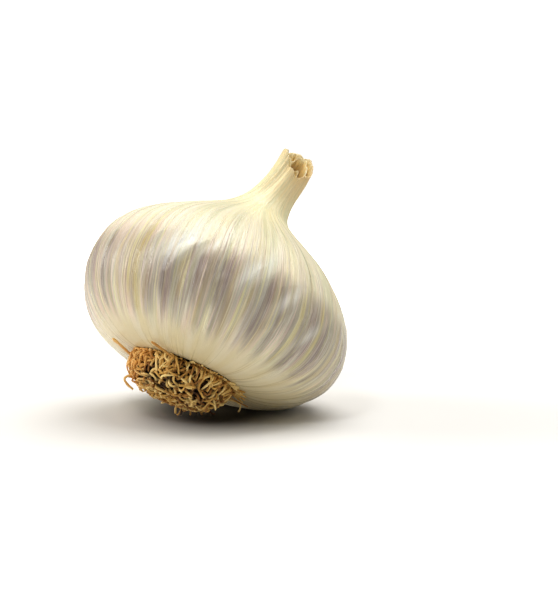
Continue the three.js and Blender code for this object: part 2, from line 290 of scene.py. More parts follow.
def all_folds():
    """The largest folds and many small ones, most of them above the widest ring."""
    random = np.random.default_rng(21)
    folds = list(LOOSE_FOLDS)
    for _ in range(SMALL_FOLDS):
        turn = random.uniform(-180, 180)
        low = random.normal(3, 7)
        length = random.uniform(2.5, 7)
        lean = random.normal(1.0, 0.9) * length
        rise, width = random.uniform((0.03, 0.35), (0.11, 0.9))
        folds.append((turn, low, turn + lean, low + length, rise, width))
    return folds


def loose_folds(angle, height, radius):
    """Each fold is a low ridge with a soft and a steep side, which fades at its ends."""
    total = np.zeros(angle.shape)
    for turn_a, low, turn_b, high, rise, width in all_folds():
        share = np.clip((height - low) / (high - low), 0, 1)
        middle = np.radians(turn_a + (turn_b - turn_a) * share + 0.8 * np.sin(5 * share + low))
        across = turned_apart(angle, middle) * radius / width
        side = np.where(across > 0, across * 1.8, across * 0.7)
        ends = ramp(low - 1, low + 2, height) * ramp(high + 1, high - 2, height)
        total += rise * np.exp(-(side**2)) * ends
    return total


def waves(angle, height, kind):
    """Fine waves of one kind, which rise from nothing between two heights."""
    seed, fewest, most, slant, rise, low, high = kind
    return wander(angle, height, seed, fewest, most, slant) * rise * ramp(low, high, height)


def skin_points(along, angle, inset=0.0, fine=True):
    """Points of the skin, or of a surface that lies further in; only the skin itself is fine."""
    radius, height, drift = np.moveaxis(outline_at(along), -1, 0)
    relief = clove_swell(angle, height) + rib_height(angle, height) + neck_crease(angle, height)
    if fine:
        veins = sum(waves(angle, height, kind) for kind in VEIN_WAVES)
        veins += waves(angle, height, SLANTING_WAVES) * ramp(24, 12, height)
        veins *= 0.35 + 0.65 * radius / SKIN_OUTLINE[:, 0].max()
        # the ribs are softer than the swelling cloves below them
        veins -= 0.5 * rib_height(angle, height)
        relief = relief + veins + waves(angle, height, NECK_PLEATS) + neck_grooves(angle, height)
        relief = relief + loose_folds(angle, height, radius)
    wide = radius + relief - inset
    return np.stack([drift + wide * np.cos(angle), wide * np.sin(angle), height], -1)


def ring_faces(rings, around, offset=0):
    """Quads between rings of points that go once round."""
    faces = []
    for ring in range(rings - 1):
        low = offset + ring * around
        high = low + around
        for k in range(around):
            after = (k + 1) % around
            faces.append((low + k, low + after, high + after, high + k))
    return faces


def drawn_in(row):
    """The row that closes a floor, drawn in nearly to a point."""
    middle = row[:, :2].mean(0)
    floor_row = row.copy()
    floor_row[:, :2] = middle + (row[:, :2] - middle) * FLOOR_SHARE
    return floor_row


angles = once_round(SKIN_AROUND)
nibbled = NIBBLE * wander(angles, 0.0, 8, 20, 60, 0.0)
nibbled -= FRONT_DIP * near_turn(angles, FRONT_DIP_AT, FRONT_DIP_WIDTH)
cut_edge = cut_height(angles) + nibbled
row_share, angle_grid = np.meshgrid(np.linspace(0, 1, SKIN_ALONG), angles, indexing="ij")
neck_start = along_at(CUT_FROM)
neck_share = np.clip((row_share - neck_start) / (1 - neck_start), 0, 1)
along_grid = np.where(
    row_share < neck_start, row_share, neck_start + neck_share * (along_at(cut_edge) - neck_start)
)
skin_rows = []
skin_height = []


def add_skin_rows(points, height):
    """Keeps one or more rows of points, with the height that colours and marks go by."""
    skin_rows.append(points.reshape(-1, SKIN_AROUND, 3))
    skin_height.append(np.broadcast_to(height, points.shape[:-1]).reshape(-1, SKIN_AROUND))


def seat_row(radius, height):
    """A level circle of points in the seat of the root plate."""
    circle = [radius * np.cos(angles), radius * np.sin(angles), np.full(SKIN_AROUND, height)]
    return np.stack(circle, -1)


for radius, height in SEAT_ROWS:
    add_skin_rows(seat_row(radius, height), SKIN_OUTLINE[0, 1])
add_skin_rows(skin_points(along_grid, angle_grid), outline_at(along_grid)[..., 1])
for depth, inset in MOUTH_ROWS:
    height = cut_edge + (MOUTH_FLOOR - cut_edge) * depth
    row = skin_points(along_at(height), angles, inset)
    add_skin_rows(row, height)
add_skin_rows(drawn_in(row), MOUTH_FLOOR)

skin_cloud = pressed_on_table(np.concatenate(skin_rows).reshape(-1, 3))
skin_heights = np.concatenate(skin_height).ravel()
ring_count = len(skin_cloud) // SKIN_AROUND
skin_angles = np.tile(angles, ring_count)

# Stained veins: angle, half width in degrees, lowest and highest point, strength.
LILAC_VEINS = (
    (-166, 3.0, -7, 4, 0.55),
    (-158, 2.2, -8, 2, 0.60),
    (-150, 1.3, -10, 6, 1.00),
    (-147, 1.2, -6, 3, 0.35),
    (-121, 2.6, -9, 2, 0.60),
    (-115, 2.4, -7, 1, 1.00),
    (-101, 2.6, -5, 4, 0.60),
    (-98, 4.5, -3, 4, 0.75),
    (-93, 2.0, -5, 4, 0.80),
    (-90, 1.2, -6, 3, 0.45),
    (-73, 2.2, -8, 3, 0.95),
    (-66, 1.4, -9, 2, 0.55),
    (-59, 1.3, -8, -1, 0.60),
    (-51, 2.4, -11, -2, 1.00),
    (-46, 1.2, -9, 1, 0.50),
    (-40, 2.0, -12, 1, 0.85),
    (-32, 1.5, -10, 0, 0.40),
)
GOLD_VEINS = (
    (-109.5, 1.3, -1, 5, 0.80),
    (-141, 1.6, -9, 3, 0.50),
    (-134, 2.2, -8, 4, 0.55),
    (-129, 2.0, -11, 8, 1.00),
    (-124, 1.4, -8, 3, 0.60),
    (-108, 1.2, -6, 8, 0.45),
    (-98, 1.2, -13, 4, 0.70),
    (-87, 1.4, -12, 4, 0.70),
    (-80, 1.0, -12, 6, 0.60),
    (-70, 1.0, -12, 5, 0.50),
    (-56, 1.2, -12, 4, 0.60),
    (-44, 1.0, -10, 6, 0.65),
    (-29, 2.6, -9, 4, 0.75),
    (-18, 2.0, -9, 3, 0.45),
)
# More of them on the sides that face away: how many, and between which angles.
MORE_VEINS = 26
AWAY_FROM = -10
AWAY_TO = 185


def vein_stain(veins, seed):
    """How strongly each point of the skin is stained by the veins near it."""
    random = np.random.default_rng(seed)
    veins = list(veins)
    for _ in range(MORE_VEINS):
        turn = random.uniform(AWAY_FROM, AWAY_TO)
        low = random.uniform(-12, -5)
        length = random.uniform(7, 14)
        veins.append((turn, random.uniform(1, 2.8), low, low + length, random.uniform(0.35, 1)))
    total = np.zeros(len(skin_cloud))
    for turn, width, low, high, strength in veins:
        shift = random.uniform(0, 6)
        middle = turn + 0.7 * np.sin(0.35 * skin_heights + shift)
        ends = ramp(low - 3, low + 2, skin_heights) * ramp(high + 3.5, high - 2, skin_heights)
        total = np.maximum(total, strength * near_turn(skin_angles, middle, width) * ends)
    return total


# Painted highlight, patches of the flank painted paler as sheen: angle, height, half width, half height,
# strength.
PAINTED_SHEEN_PATCHES = (
    (-113, 5.5, 6.5, 5.0, 1.00),
    (-98, 8.0, 2.5, 3.5, 0.70),
    (-78, 6.5, 4.0, 4.5, 0.85),
    (-64, 2.5, 3.0, 4.5, 0.55),
    (-48, -2.0, 2.5, 4.0, 0.40),
)


def facing(degrees, sharpness):
    """1 where the skin faces an angle, falling to 0 on the far side."""
    return (0.5 + 0.5 * np.cos(turned_apart(skin_angles, math.radians(degrees)))) ** sharpness


# what the material reads at each point: its place round and along the skin, its stains and painted shade, its
# age
lowest = SKIN_OUTLINE[:, 1].min()
level = (skin_heights - lowest) / (CUT_TOP - lowest)
skin_grain = np.stack([np.cos(skin_angles), np.sin(skin_angles), level], -1)
# the wash over the flank, partly stain and partly painted shade, ends higher or lower from one vein to the
# next
uneven = skin_heights + 2.6 * wander(skin_angles, 0.0, 9, 9, 90, 0.0)
flank_band = ramp(-13.5, -4, uneven) * ramp(9.5, 2, skin_heights)
# the painted shade in the wash is deepest on the side that faces the front
flank_band *= 0.72 + 0.28 * np.cos(turned_apart(skin_angles, math.radians(-60)))
painted_shine = np.zeros(len(skin_cloud))
for turn, middle, wide, high, strength in PAINTED_SHEEN_PATCHES:
    leaning = turn + 1.2 * (skin_heights - middle)
    up_and_down = np.exp(-(((skin_heights - middle) / high) ** 2))
    painted_shine = np.maximum(painted_shine, strength * near_turn(skin_angles, leaning, wide) * up_and_down)
# the wash fades under the painted highlight
flank_band *= 1 - painted_shine
skin_stain_and_shade = np.stack([vein_stain(LILAC_VEINS, 11), vein_stain(GOLD_VEINS, 12), flank_band], -1)

# how far each point has dried to tan: the right of the neck, and more towards the cut
below_cut = np.tile(cut_edge, ring_count) - skin_heights
drying = ramp(27, 38, skin_heights) * (0.10 + 0.46 * facing(-10, 1.6)) + 0.25 * ramp(3.0, 0.0, below_cut)
inside_mouth = np.zeros((ring_count, SKIN_AROUND))
inside_mouth[-len(MOUTH_ROWS) :] = 1.0
inside_mouth = inside_mouth.ravel() * ramp(0.0, 1.6, below_cut)
# the left flank is rosier than the right
rosy_side = facing(-160, 1.5) * ramp(16, 2, skin_heights)
skin_age = np.stack([np.clip(drying, 0, 1), inside_mouth, rosy_side], -1)


def piece_mesh(name, points, faces, material, replaced):
    """Makes one laid-down piece from upright points and gives it to the frame."""
    mesh = bpy.data.meshes.new(name)
    mesh.from_pydata((laid_down(points) * MM).tolist(), [], faces)
    mesh.materials.append(material)
    mesh.shade_smooth()
    mesh.update()
    piece = bpy.data.objects.new(name, mesh)
    bpy.context.collection.objects.link(piece)
    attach(piece, "root")
    if replaced:
        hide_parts(replaced)
    return piece


def set_point_values(piece, name, values):
    """Keeps three numbers for each point of a piece, which its material reads."""
    attribute = piece.data.attributes.new(name, "FLOAT_VECTOR", "POINT")
    attribute.data.foreach_set("vector", np.asarray(values, dtype=np.float32).ravel())


def new_material(name, values):
    """A material and the one shader that gives its surface, with values that hold all over it."""
    material = bpy.data.materials.new(name)
    material.use_nodes = True
    nodes = material.node_tree.nodes
    nodes.clear()
    surface = nodes.new("ShaderNodeOutputMaterial")
    shader = nodes.new("ShaderNodeBsdfPrincipled")
    material.node_tree.links.new(shader.outputs["BSDF"], surface.inputs["Surface"])
    for socket, value in values.items():
        shader.inputs[socket].default_value = value
    return material, shader


class Graph:
    """Short ways to add the nodes that the materials are made of."""

    def __init__(self, tree):
        self.tree = tree

    def link(self, source, target):
        self.tree.links.new(source, target)

    def put(self, value, target):
        """Feeds a socket from another node, or sets it to a number or a colour."""
        if isinstance(value, bpy.types.NodeSocket):
            self.link(value, target)
        elif isinstance(value, tuple) and len(value) == 3 and target.type == "RGBA":
            target.default_value = (*value, 1.0)
        else:
            target.default_value = value

    def values(self, name):
        """The three numbers kept under a name for each point of the piece."""
        node = self.tree.nodes.new("ShaderNodeAttribute")
        node.attribute_name = name
        return node.outputs["Vector"]

    def split(self, vector):
        node = self.tree.nodes.new("ShaderNodeSeparateXYZ")
        self.link(vector, node.inputs[0])
        return node.outputs

    def stretched(self, vector, scale, move=(0.0, 0.0, 0.0)):
        node = self.tree.nodes.new("ShaderNodeMapping")
        self.link(vector, node.inputs["Vector"])
        self.put(scale, node.inputs["Scale"])
        node.inputs["Location"].default_value = move
        return node.outputs["Vector"]

    def noise(self, vector, scale=1.0, detail=2.0, roughness=0.5):
        node = self.tree.nodes.new("ShaderNodeTexNoise")
        self.link(vector, node.inputs["Vector"])
        node.inputs["Scale"].default_value = scale
        node.inputs["Detail"].default_value = detail
        node.inputs["Roughness"].default_value = roughness
        return node.outputs["Fac"]

    def math(self, kind, first, second, third=None):
        node = self.tree.nodes.new("ShaderNodeMath")
        node.operation = kind
        self.put(first, node.inputs[0])
        self.put(second, node.inputs[1])
        if third is not None:
            self.put(third, node.inputs[2])
        return node.outputs[0]

    def times(self, first, second):
        return self.math("MULTIPLY", first, second)

    def vector_times(self, vector, scale):
        node = self.tree.nodes.new("ShaderNodeVectorMath")
        node.operation = "MULTIPLY"
        self.put(vector, node.inputs[0])
        self.put(scale, node.inputs[1])
        return node.outputs["Vector"]

    def between(self, value, low, high, out_low=0.0, out_high=1.0):
        """Rises smoothly from out_low to out_high while the value goes from low to high."""
        node = self.tree.nodes.new("ShaderNodeMapRange")
        node.interpolation_type = "SMOOTHSTEP"
        self.put(value, node.inputs["Value"])
        node.inputs["From Min"].default_value = low
        node.inputs["From Max"].default_value = high
        node.inputs["To Min"].default_value = out_low
        node.inputs["To Max"].default_value = out_high
        return node.outputs["Result"]

    def mix(self, share, first, second):
        """A share of the second colour over the first."""
        node = self.tree.nodes.new("ShaderNodeMix")
        node.data_type = "RGBA"
        # its sockets for colours come after those for numbers and for vectors
        self.put(share, node.inputs[0])
        self.put(first, node.inputs[6])
        self.put(second, node.inputs[7])
        return node.outputs[2]

    def colours(self, value, *stops):
        """A ramp of colours: each stop is a place from 0 to 1 and its colour."""
        node = self.tree.nodes.new("ShaderNodeValToRGB")
        self.put(value, node.inputs["Fac"])
        ends = node.color_ramp.elements
        for _ in range(len(stops) - 2):
            ends.new(0.5)
        for end, (place, colour) in zip(ends, stops):
            end.position = place
            end.color = (*colour, 1.0)
        return node.outputs["Color"]

    def length(self, vector):
        node = self.tree.nodes.new("ShaderNodeVectorMath")
        node.operation = "LENGTH"
        self.link(vector, node.inputs[0])
        return node.outputs["Value"]

    def place(self):
        """Where each point is in the piece's own axes, in metres."""
        return self.tree.nodes.new("ShaderNodeTexCoord").outputs["Object"]

    def bump(self, height, strength, distance, normal=None):
        node = self.tree.nodes.new("ShaderNodeBump")
        node.inputs["Strength"].default_value = strength
        node.inputs["Distance"].default_value = distance
        self.link(height, node.inputs["Height"])
        if normal is not None:
            self.link(normal, node.inputs["Normal"])
        return node.outputs["Normal"]

    def placed(self, group, **inputs):
        """One use of a node group, with values for its named inputs."""
        node = self.tree.nodes.new("ShaderNodeGroup")
        node.node_tree = group
        for name, value in inputs.items():
            self.put(value, node.inputs[name.replace("_", " ").capitalize()])
        return node.outputs


def leaf_veins_group():
    """The fine lengthwise veins of a dried leaf base, wide and hair-thin ones together."""
    group = bpy.data.node_groups.new("leaf_veins", "ShaderNodeTree")
    face = group.interface
    face.new_socket("Grain", in_out="INPUT", socket_type="NodeSocketVector")
    for name, usual in (("Wide veins", (34, 34, 1.3)), ("Fine veins", (95, 95, 2.2))):
        socket = face.new_socket(name, in_out="INPUT", socket_type="NodeSocketVector")
        socket.default_value = usual
    for name in ("Veins", "Wide", "Pale", "Dark"):
        face.new_socket(name, in_out="OUTPUT", socket_type="NodeSocketFloat")
    g = Graph(group)
    given = group.nodes.new("NodeGroupInput")
    wide_grain = g.vector_times(given.outputs["Grain"], given.outputs["Wide veins"])
    wide = g.noise(wide_grain, detail=3.0, roughness=0.6)
    fine_grain = g.vector_times(given.outputs["Grain"], given.outputs["Fine veins"])
    fine = g.noise(fine_grain, detail=3.0, roughness=0.65)
    veins = g.math("MULTIPLY_ADD", fine, 0.6, g.times(wide, 0.4))
    result = group.nodes.new("NodeGroupOutput")
    g.link(veins, result.inputs["Veins"])
    g.link(wide, result.inputs["Wide"])
    g.link(g.between(veins, 0.53, 0.66), result.inputs["Pale"])
    g.link(g.between(veins, 0.48, 0.36), result.inputs["Dark"])
    return group


leaf_veins = leaf_veins_group()

skin_material, skin_shader = new_material(
    "papery_skin",
    {
        "Specular IOR Level": 0.6,
        "Subsurface Weight": 0.15,
        "Subsurface Radius": (1.0, 0.75, 0.45),
        "Subsurface Scale": 0.002,
    },
)
g = Graph(skin_material.node_tree)
grain = g.values("grain")
skin_level = g.split(grain)[2]
lilac, gold, flank = g.split(g.values("stain_and_shade"))
tanned, inside, rosier = g.split(g.values("age"))
veins = g.placed(leaf_veins, grain=grain)


def patches(spread, move, low, high, detail=3.0):
    """Soft-edged patches of the skin, drawn out along its veins."""
    return g.between(g.noise(g.stretched(grain, spread, move), detail=detail), low, high)


# colour from the roots, at 0, to the cut neck, at 1
waves_of_level = g.between(g.noise(g.stretched(grain, (9, 9, 1.5))), 0.3, 0.7, -0.035, 0.035)
wavy_level = g.math("ADD", skin_level, waves_of_level)
ground = g.colours(
    wavy_level,
    (0.00, (0.62, 0.52, 0.30)),
    (0.07, (0.68, 0.60, 0.41)),
    (0.13, (0.71, 0.66, 0.53)),
    (0.22, (0.77, 0.71, 0.58)),
    (0.38, (0.83, 0.76, 0.57)),
    (0.55, (0.85, 0.775, 0.54)),
    (0.70, (0.87, 0.775, 0.47)),
    (0.82, (0.91, 0.78, 0.47)),
    (1.00, (0.88, 0.72, 0.40)),
)
# soft patches a few veins wide, like washed-out water colour: warm, olive and rosy
warm = patches((6, 6, 1.7), (3, 1, 0), 0.42, 0.64)
tinted = g.mix(g.times(warm, 0.38), ground, (0.88, 0.74, 0.38))
olive = patches((11, 11, 2.4), (7, 5, 2), 0.47, 0.61, detail=4.0)
tinted = g.mix(g.times(olive, 0.52), tinted, (0.60, 0.61, 0.37))
rosy = patches((9, 9, 2.6), (1, 9, 5), 0.44, 0.58, detail=4.0)
rosy = g.times(rosy, g.math("MULTIPLY_ADD", rosier, 0.75, g.times(flank, 0.35)))
tinted = g.mix(rosy, tinted, (0.70, 0.49, 0.39))
# a brownish wash over the flank, ragged at its edges: partly the skin's own stain, partly painted shade
wash_and_shade_edge = patches((9, 9, 2.6), (2, 8, 4), 0.37, 0.58, detail=5.0)
wash_and_shade_tone = patches((19, 19, 2.2), (6, 2, 7), 0.40, 0.60)
wash_and_shade_colour = g.mix(wash_and_shade_tone, (0.28, 0.19, 0.17), (0.35, 0.32, 0.19))
tinted = g.mix(g.times(flank, 0.82), tinted, (0.31, 0.28, 0.21))
stained = g.mix(g.times(g.times(flank, wash_and_shade_edge), 0.88), tinted, wash_and_shade_colour)
# single veins, dried pink, yellow, grey and pale: how fine round and along, shift, strength, colour
body = g.times(g.between(skin_level, 0.02, 0.10), g.between(skin_level, 0.62, 0.36))
for spread, move, strength, colour in (
    ((52, 52, 2.4), (9, 3, 1), 0.55, (0.78, 0.58, 0.48)),
    ((44, 44, 2.0), (2, 7, 3), 0.60, (0.74, 0.68, 0.30)),
    ((64, 64, 2.6), (5, 5, 8), 0.50, (0.36, 0.31, 0.28)),
    ((58, 58, 2.2), (8, 1, 6), 0.22, (0.90, 0.87, 0.75)),
):
    lines = g.between(g.noise(g.stretched(grain, spread, move), detail=3.0, roughness=0.6), 0.53, 0.66)
    stained = g.mix(g.times(g.times(lines, body), strength), stained, colour)
# stained veins break up into hairlines
broken = g.between(veins["Veins"], 0.40, 0.56, 0.2, 1.0)
stained = g.mix(g.times(g.times(gold, broken), 0.85), stained, (0.47, 0.35, 0.11))
stained = g.mix(g.times(g.times(lilac, broken), 0.90), stained, (0.17, 0.115, 0.105))
# the neck dries tan, and golden inside
dried = g.times(tanned, g.between(veins["Wide"], 0.25, 0.6, 0.55, 1.0))
stained = g.mix(dried, stained, (0.60, 0.36, 0.12))
stained = g.mix(inside, stained, (0.72, 0.50, 0.16))
# pale and dark hairlines all over, fewer of the dark ones on the neck
combed = g.mix(g.times(veins["Pale"], 0.33), stained, (0.93, 0.90, 0.73))
dark_lines = g.times(veins["Dark"], g.between(skin_level, 0.35, 0.60, 0.50, 0.22))
dark_lines = g.times(dark_lines, g.between(skin_level, 0.02, 0.10))
combed = g.mix(dark_lines, combed, (0.38, 0.30, 0.15))
# the skin is plainer where it turns in to the roots
combed = g.mix(g.between(skin_level, 0.08, 0.02), combed, ground)
# painted highlight: paler streaks of satin sheen, where the skin is drawn tight over a clove
painted_satin = g.times(g.split(g.values("painted_shine"))[0], g.between(veins["Wide"], 0.40, 0.58, 0.25, 1.0))
combed = g.mix(g.times(painted_satin, 0.75), combed, (0.88, 0.90, 0.85))
g.link(combed, skin_shader.inputs["Base Color"])
gloss = g.between(g.noise(g.stretched(grain, (20, 20, 1.6), (1, 2, 3))), 0.35, 0.65, 0.24, 0.44)
g.link(gloss, skin_shader.inputs["Roughness"])
# raised veins and small wrinkles like crepe, both smoother on the neck and next to the roots
smoother = g.between(skin_level, 0.42, 0.68, 1.0, 0.30)
smoother = g.times(smoother, g.between(skin_level, 0.0, 0.08))
vein_bump = g.bump(g.times(veins["Veins"], smoother), 0.75, 0.0005)
crepe = g.noise(g.stretched(grain, (26, 26, 14), (4, 4, 4)), detail=4.0, roughness=0.6)
g.link(g.bump(g.times(crepe, smoother), 0.55, 0.0006, vein_bump), skin_shader.inputs["Normal"])

skin_faces = ring_faces(ring_count, SKIN_AROUND)
skin = piece_mesh("papery_skin", skin_cloud, skin_faces, skin_material, "bulb")
set_point_values(skin, "grain", skin_grain)
set_point_values(skin, "stain_and_shade", skin_stain_and_shade)
set_point_values(skin, "age", skin_age)
set_point_values(skin, "painted_shine", np.stack([painted_shine] * 3, -1))

# The inner sheaths
# Older leaf bases, dried brown, which line the open end of the neck. They were cut with the skin,
# stand a little lower in it, and have come loose from it at the back on the left.
CORE_AROUND = 360
CORE_FLOOR = 36.6
MOUTH_TAPER = 0.4
CORE_GAP = 0.12
# A sheath has sunk on one side of the mouth and curls in beside it: how far, where, how wide.
SUNK_BY = 1.9
SUNK_AT = 165
SUNK_WIDTH = 42
CURL_BY = 0.75
CURL_AT = 126
CURL_WIDTH = 20
# Each sheath: how far in from the skin, how far below the cut it ends, where its folds begin.
CORE_SHEETS = ((1.25, 1.0, 0.0), (2.05, 4.8, 2.1))
# Going up the outside of a sheath, over its edge and down the inside: how far up, and how thick.
SHEATH_PROFILE = (
    (0.0, 0.0),
    (0.3, 0.0),
    (0.55, 0.0),
    (0.75, 0.0),
    (0.9, 0.0),
    (0.975, 0.02),
    (1.0, 0.12),
    (0.998, 0.24),
    (0.97, 0.33),
    (0.9, 0.36),
    (0.75, 0.38),
    (0.55, 0.42),
    (0.3, 0.46),
    (0.0, 0.5),
)
core_angles = once_round(CORE_AROUND)


def mouth_points(angle, height, inset):
    """Points on the wall of the neck's mouth, which narrows below the cut."""
    down = np.clip((cut_height(angle) - height) / (CUT_TOP - CORE_FLOOR), 0, 1)
    return skin_points(along_at(height), angle, inset + MOUTH_TAPER * down, False)


sunk = SUNK_BY * near_turn(core_angles, SUNK_AT, SUNK_WIDTH)
curl = CURL_BY * near_turn(core_angles, CURL_AT, CURL_WIDTH)
core_points = []
core_faces = []
core_grain = []
for inset, below, turn in CORE_SHEETS:
    folds = 0.12 * np.sin(3 * core_angles + turn) + 0.04 * np.sin(8 * core_angles + 2 * turn)
    ragged = 0.16 * np.sin(5 * core_angles + turn) + 0.12 * np.sin(13 * core_angles + turn * 3)
    ragged += 0.05 * np.sin(37 * core_angles + turn)
    edge = cut_height(core_angles) - below - sunk + ragged
    first = len(core_points) * CORE_AROUND
    for up, thick in SHEATH_PROFILE:
        height = CORE_FLOOR + (edge - CORE_FLOOR) * up
        curled_in = curl * up**3 + 0.12 * up**8
        row = mouth_points(core_angles, height, inset + thick + CORE_GAP + folds + curled_in)
        core_points.append(row)
        core_grain.append(np.stack([np.cos(core_angles) + turn, np.sin(core_angles), edge - height], -1))
    # the innermost sheath is closed by a floor
    if inset == CORE_SHEETS[-1][0]:
        core_points.append(drawn_in(row))
        core_grain.append(core_grain[-1])
    core_faces += ring_faces(len(core_points) - first // CORE_AROUND, CORE_AROUND, first)

core_material, core_shader = new_material(
    "inner_sheath",
    {
        "Roughness": 0.6,
        "Subsurface Weight": 0.1,
        "Subsurface Radius": (1.0, 0.6, 0.25),
        "Subsurface Scale": 0.0015,
    },
)
g = Graph(core_material.node_tree)
grain = g.values("grain")
# darker with depth below the cut edge, in millimetres: cream and golden near the edge, then painted shade
# deep in the mouth
depth = g.split(grain)[2]
fibres = g.placed(leaf_veins, grain=grain, wide_veins=(12.0, 12.0, 0.25), fine_veins=(40.0, 40.0, 0.5))
core_colour = g.colours(
    g.times(depth, 0.1),
    (0.00, (0.90, 0.78, 0.48)),
    (0.03, (0.86, 0.66, 0.30)),
    (0.16, (0.68, 0.44, 0.13)),
    (0.42, (0.30, 0.15, 0.022)),
    (1.00, (0.08, 0.035, 0.006)),
)
core_colour = g.mix(g.times(fibres["Pale"], 0.25), core_colour, (0.82, 0.64, 0.30))
core_colour = g.mix(g.times(fibres["Dark"], 0.45), core_colour, (0.16, 0.08, 0.02))
g.link(core_colour, core_shader.inputs["Base Color"])
g.link(g.bump(fibres["Veins"], 0.6, 0.0004), core_shader.inputs["Normal"])
core = piece_mesh(
    "inner_sheaths", np.concatenate(core_points), core_faces, core_material, "neck_core"
)
set_point_values(core, "grain", np.concatenate(core_grain))

# The root plate and its roots
# A woody plate under the bulb, and the roots that were cut short below it. They dried into a
# curly mat, which leans to the left front and is pressed against the skin and the table.
PLATE_RADIUS = 8.9
# The mat: a cylinder with rounded edges, which shifts as it gets deeper and bulges in clumps.
MAT_TOP = -14.6
MAT_RADIUS = 11.45
MAT_DEPTH = 7.5
MAT_ROUNDNESS = 3.4
MAT_MIDDLE = Vector((-2.3, -2.0, MAT_TOP))
MAT_LEAN = Vector((0.7, -1.2, 0.0))
MAT_CLUMPS = 0.03
# How far a root stays from the skin, and how much of its radius it keeps above the table.
SKIN_CLEARANCE = 0.04
TABLE_PRESS = 0.8
GOLDEN_ANGLE = math.pi * (3 - math.sqrt(5))
# A root: its steps and sides, and how far out in the mat it starts. Then the share of its radius
# that is left near the tip, and the share of that at the cut.
ROOT_STEPS = 16
ROOT_SIDES = 7
ROOT_START = 0.72
ROOT_TIP = 0.8
CUT_TIP = 0.75
# Roots in layers, the outermost first: how many, seed, radius, depth below the top layer, length
# and curl. Deeper ones are painted darker, as shade inside the mat.
ROOT_LAYERS = (
    (82, 7, 0.31, 0.0, 1.0, 1.4),
    (190, 31, 0.28, 0.0, 0.75, 2.2),
    (200, 57, 0.27, 0.05, 0.8, 2.0),
    (150, 83, 0.26, 0.11, 0.9, 1.6),
)
DEEPER_SHADE = 1.5
# Short roots all round the mat's upper edge, where they come out from under the skin.
COLLAR_ROOTS = 130
COLLAR_RADIUS = 0.28
# Thin ones at the front on the right, between two angles, in the gap below the skin's lowest fold.
FRINGE_ROOTS = 70
FRINGE_RADIUS = 0.2
FRINGE_FROM = -80
FRINGE_SPAN = 95
FRINGE_LIGHTER = 0.2
LIP_RADIUS = 12.8
# Roots that reach out of the mat: their radius, and the points that they pass.
STRAY_ROOTS = (
    (0.40, ((-11.0, -1.1, -15.9), (-14.2, -2.6, -15.8), (-17.0, -5.4, -15.4), (-19.3, -6.6, -14.9))),
    (
        0.33,
        (
            (-9.2, -1.6, -17.6),
            (-11.5, -1.7, -19.2),
            (-13.4, -1.2, -21.1),
            (-12.5, -0.6, -22.1),
            (-10.7, 0.2, -22.6),
        ),
    ),
    (0.36, ((-2.0, -11.2, -15.5), (-6.0, -14.8, -15.4), (-10.5, -17.7, -15.0))),
    (
        0.22,
        (
            (7.2, 2.6, -18.4),
            (8.8, 3.0, -16.8),
            (11.0, 2.6, -15.8),
            (13.4, 2.9, -15.7),
            (13.9, 3.4, -16.7),
            (13.8, 3.8, -17.4),
        ),
    ),
    (0.20, ((7.9, 1.0, -15.8), (11.3, 2.0, -15.5), (15.5, 3.5, -15.5))),
    (0.30, ((0.2, 1.0, -19.6), (-0.1, 3.1, -21.8), (0.4, 3.8, -23.3))),
)
# Roots that stand on the table, placed in the bulb as it lies: where they begin, and their feet.
STANDING_ROOTS = (
    ((-7.6, -4.6, 6.4), (-8.0, -3.0)),
    ((-5.6, -3.6, 6.0), (-5.8, -2.6)),
    ((-3.8, -3.6, 6.0), (-3.2, -2.4)),
    ((-3.0, -3.4, 6.0), (-0.6, -2.0)),
    ((-5.0, -3.2, 6.0), (-4.4, -1.4)),
    ((-7.0, -4.0, 6.6), (-8.6, -2.8)),
    ((-4.0, -2.2, 6.8), (-1.8, -0.2)),
)
STANDING_RADIUS = 0.22
# How much darker their tone is painted, as shade under the mat.
STANDING_SHADE = 0.55
# On the way to its foot and a little past it: how far out, and how much of its height is left.
STANDING_BEND = ((0.0, 1.0), (0.35, 0.45), (0.7, 0.18), (1.0, 0.05), (1.25, 0.045))

# the lowest skin within a millimetre of each radius, from the plate outwards
underside = outline_at(np.linspace(0, 0.5, 200))
free_radii = np.linspace(0, 24, 121)
free_heights = [
    min(h for r, h, _ in underside if abs(r - max(radius, PLATE_RADIUS + 0.4)) < 1.0)
    for radius in free_radii
]
# the table, in the upright bulb's own axes
table_normal = Vector(turned.T @ np.array((0.0, 0.0, 1.0)))
table_drop = float(ring_middle[2])


def seeded_random(seed):
    """Even numbers from 0 to 1, the same on every run."""
    state = seed
    while True:
        state = (state * 1664525 + 1013904223) % 4294967296
        yield state / 4294967296


def mat_middle(height):
    """The middle of the mat at a height."""
    deep = min(max((MAT_TOP - height) / MAT_DEPTH, 0.0), 1.0)
    return MAT_MIDDLE + MAT_LEAN * deep


def mat_share(point):
    """How far out of the rounded mat a point lies: 1 on its surface, which bulges in clumps."""
    away = point - mat_middle(point.z)
    turn = math.atan2(away.y, away.x)
    clumps = 1 + MAT_CLUMPS * (math.cos(12 * (turn + 1.26)) + 0.6 * math.cos(7 * turn + 1.0))
    wide = math.hypot(away.x, away.y) / (MAT_RADIUS * clumps)
    deep = max(0.0, -away.z) / MAT_DEPTH
    return (wide**MAT_ROUNDNESS + deep**MAT_ROUNDNESS) ** (1 / MAT_ROUNDNESS)


def onto_layer(point, layer):
    """Brings a point of a root into its layer of the mat."""
    middle = mat_middle(point.z)
    return middle + (point - middle) * (layer / mat_share(point))


def skin_underside(point):
    """The height of the skin above a point of the mat."""
    return float(np.interp(math.hypot(point.x, point.y), free_radii, free_heights))


def bend_clear(point, radius):
    """Bends a point of a root clear of the skin and of the table."""
    point.z = min(point.z, skin_underside(point) - SKIN_CLEARANCE - radius)
    gap = table_normal.dot(point) + table_drop - TABLE_PRESS * radius
    if gap < 0:
        point -= gap * table_normal
    return point


